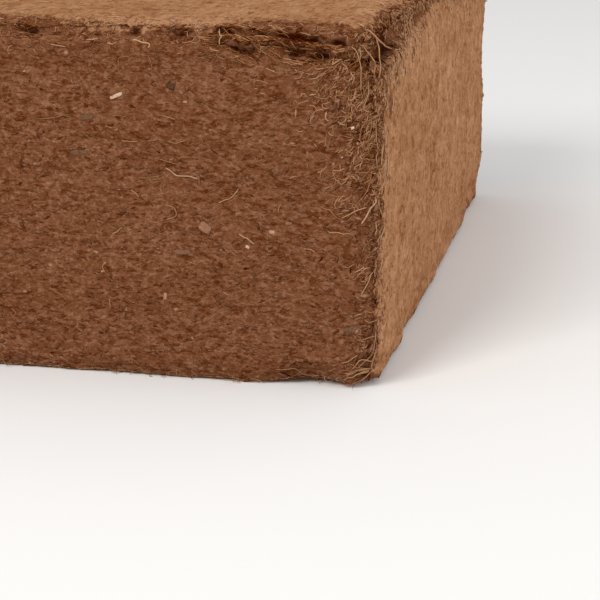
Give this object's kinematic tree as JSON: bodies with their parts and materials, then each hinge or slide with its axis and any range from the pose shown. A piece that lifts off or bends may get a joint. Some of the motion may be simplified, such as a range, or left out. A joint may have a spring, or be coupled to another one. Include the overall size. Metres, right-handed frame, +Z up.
{
  "type": "coconut coir bale",
  "caption": "Pressed rectangular block of coconut coir pith and fibre with rough press faces, smooth mould faces and crumbled edges.",
  "frame": {"origin": "middle of the base, on the surface that the bale lies on", "axes": "+Z up through the thickness; Y is the direction it was pressed in, so the rough press faces look along -Y and +Y"},
  "size_m": [0.3, 0.3, 0.12],
  "materials": {
    "coir_block": "dull dry pith, dark brown on the press faces and pale tan where the mould rubbed it",
    "coir_fibre": "dull to faintly silky loose coir fibre, tan to light straw"
  },
  "bodies": {
    "root": {"coir_bale": "coir_block"}
  },
  "joints": []
}
